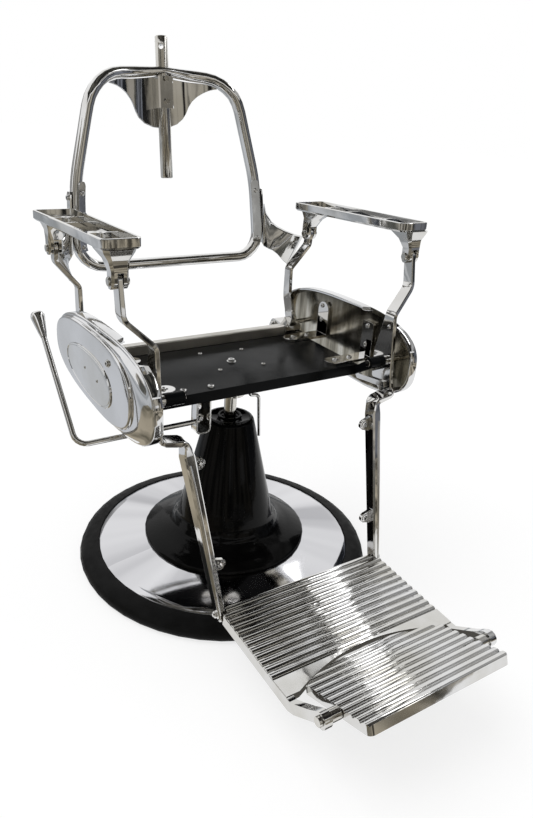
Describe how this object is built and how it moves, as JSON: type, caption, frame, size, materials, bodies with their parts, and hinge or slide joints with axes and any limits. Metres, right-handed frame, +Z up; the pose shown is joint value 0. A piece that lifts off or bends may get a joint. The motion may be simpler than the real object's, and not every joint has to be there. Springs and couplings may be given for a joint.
{
  "type": "barber chair frame",
  "caption": "Bare chromed frame of a hydraulic barber chair: reclining back hoop, linked armrests and leg rest, flip tread, swivel column on a round base.",
  "frame": {"origin": "on the floor under the column's axis", "axes": "+Z up; the chair faces -Y; +X is to the right of someone facing the chair"},
  "size_m": [0.732, 1.0735, 1.0785],
  "materials": {
    "chrome": "bright chrome plate on steel",
    "cast_chrome": "bright chrome plate on an aluminium casting",
    "steel": "ground steel",
    "iron": "black paint on rough casting",
    "gloss_black": "gloss black",
    "satin_black": "satin black",
    "rubber": "moulded black rubber"
  },
  "bodies": {
    "base": {"base_ring": "rubber", "base_casting": "iron", "base_plate": "chrome", "column_skirt": "gloss_black", "pump_cylinder": "steel", "cylinder_gland": "steel"},
    "lift": {"piston_rod": "steel", "piston_head": "steel"},
    "seat": {"swivel_hub": "steel", "seat_plate": "satin_black", "rear_rail": "chrome", "pump_bracket": "chrome", "column_guard_rod": "chrome", "side_cover_left": "cast_chrome", "cover_inlay_left": "cast_chrome", "cover_bracket_front_left": "chrome", "cover_bracket_rear_left": "chrome", "front_pivot_bracket_left": "satin_black", "front_pivot_pin_left": "steel", "rear_pivot_lug_left": "chrome", "rear_pivot_pin_left": "steel", "side_cover_right": "cast_chrome", "cover_inlay_right": "cast_chrome", "cover_bracket_front_right": "chrome", "cover_bracket_rear_right": "chrome", "front_pivot_bracket_right": "satin_black", "front_pivot_pin_right": "steel", "rear_pivot_lug_right": "chrome", "rear_pivot_pin_right": "steel"},
    "back": {"back_hoop": "chrome", "headrest_bracket": "cast_chrome", "headrest_socket": "chrome", "headrest_clamp_screw_lower": "steel", "headrest_clamp_screw_upper": "steel", "rear_post_left": "chrome", "back_arm_left": "cast_chrome", "hoop_clamp_strip_left": "chrome", "rear_post_right": "chrome", "back_arm_right": "cast_chrome", "hoop_clamp_strip_right": "chrome"},
    "headrest": {"headrest_post": "steel"},
    "armrest_left": {"armrest_left": "cast_chrome", "armrest_pin_front_left": "steel", "armrest_pin_rear_left": "steel"},
    "armrest_right": {"armrest_right": "cast_chrome", "armrest_pin_front_right": "steel", "armrest_pin_rear_right": "steel"},
    "legrest": {"front_lever_left": "chrome", "front_lever_right": "chrome", "footrest_plate": "cast_chrome", "tread_hinge_bolt_left": "steel", "tread_hinge_bolt_right": "steel", "recline_stay": "chrome"},
    "tread": {"flip_tread": "cast_chrome"},
    "pump_lever": {"lever_rod": "chrome", "lever_knob": "chrome"}
  },
  "joints": [
    {"name": "lift", "type": "slide", "parent": "base", "child": "lift", "axis": [0, 0, 1], "range_m": [0, 0.15]},
    {"name": "swivel", "type": "hinge", "parent": "lift", "child": "seat", "pos_m": [0, 0, 0.437], "axis": [0, 0, 1], "continuous": true},
    {"name": "recline", "type": "hinge", "parent": "seat", "child": "back", "pos_m": [0, 0.151, 0.477], "axis": [-1, 0, 0], "range_deg": [0, 35]},
    {"name": "legrest_swing", "type": "hinge", "parent": "seat", "child": "legrest", "pos_m": [0, -0.189, 0.497], "axis": [-1, 0, 0], "range_deg": [0, 35]},
    {"name": "arm_left_swing", "type": "hinge", "parent": "back", "child": "armrest_left", "pos_m": [-0.306, 0.183, 0.682], "axis": [-1, 0, 0], "range_deg": [-35, 0]},
    {"name": "arm_right_swing", "type": "hinge", "parent": "back", "child": "armrest_right", "pos_m": [0.306, 0.183, 0.682], "axis": [-1, 0, 0], "range_deg": [-35, 0]},
    {"name": "headrest_slide", "type": "slide", "parent": "back", "child": "headrest", "axis": [0, 0.1191, 0.9929], "range_m": [-0.04, 0.12]},
    {"name": "tread_flip", "type": "hinge", "parent": "legrest", "child": "tread", "pos_m": [0, -0.62, 0.135], "axis": [1, 0, 0], "range_deg": [0, 180]},
    {"name": "pump", "type": "hinge", "parent": "seat", "child": "pump_lever", "pos_m": [-0.127, -0.108, 0.4], "axis": [1, 0, 0], "range_deg": [-25, 12], "stiffness_Nm_per_rad": 10, "springref_deg": 1.89}
  ],
  "couplings": [
    {"joint": "legrest_swing", "follows": "recline", "ratio": 1},
    {"joint": "arm_left_swing", "follows": "recline", "ratio": -1},
    {"joint": "arm_right_swing", "follows": "recline", "ratio": -1}
  ]
}
